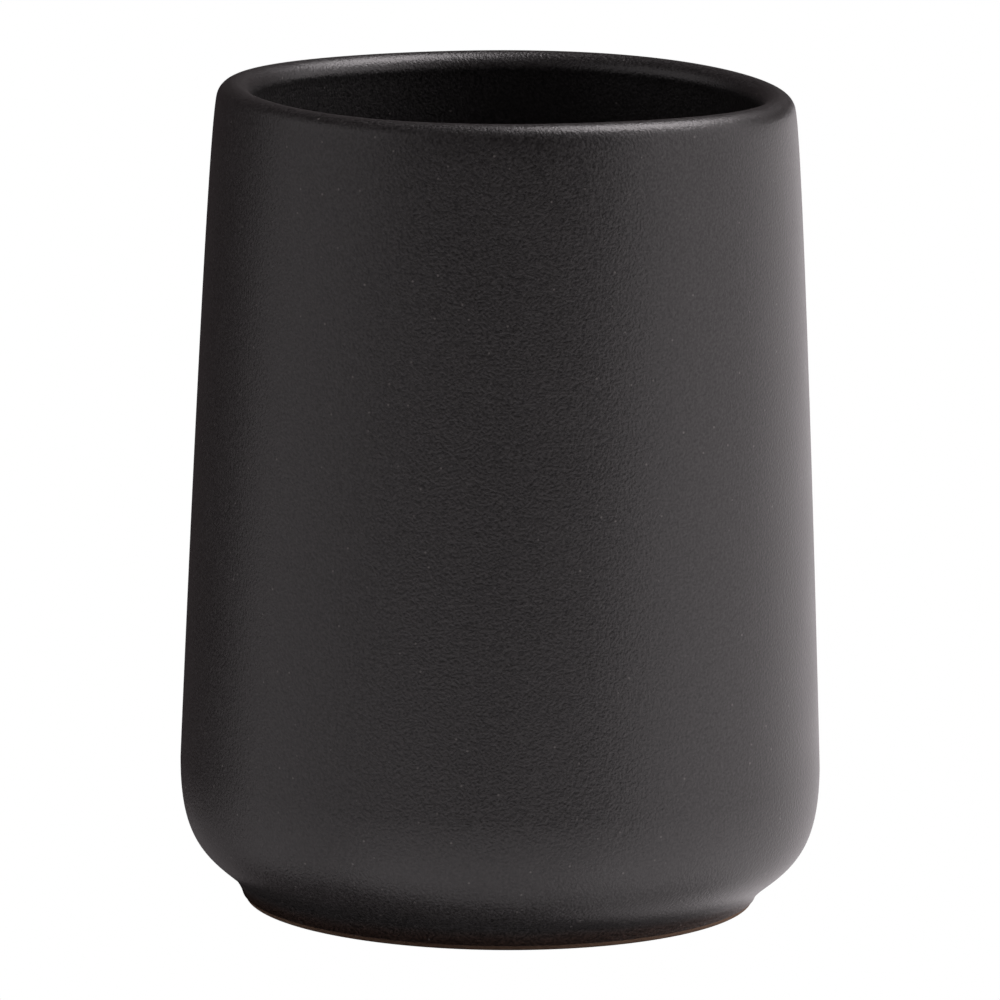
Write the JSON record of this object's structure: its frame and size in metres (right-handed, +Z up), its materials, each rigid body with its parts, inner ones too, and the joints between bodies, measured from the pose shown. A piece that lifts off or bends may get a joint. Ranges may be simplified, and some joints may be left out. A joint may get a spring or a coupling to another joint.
{
  "type": "empty candle jar",
  "caption": "Tapered round stoneware candle jar with a rounded shoulder, small foot ring, rounded rim and glaze coats inside and out.",
  "frame": {"origin": "centre of the foot ring's standing face, on the jar's axis", "axes": "+Z up along the jar's axis, towards the mouth; +X and +Y are any two directions across it, because the jar is round"},
  "size_m": [0.08, 0.08, 0.1022],
  "materials": {
    "stoneware": "bare fired clay, warm brown, matte and slightly gritty",
    "outer_glaze": "satin black glaze with a fine grain",
    "inner_glaze": "satin black glaze with a fine grain",
    "base_glaze": "satin black glaze with a fine grain"
  },
  "bodies": {
    "root": {"stoneware_body": "stoneware", "outer_glaze": "outer_glaze", "inner_glaze": "inner_glaze", "base_glaze": "base_glaze"}
  },
  "joints": []
}
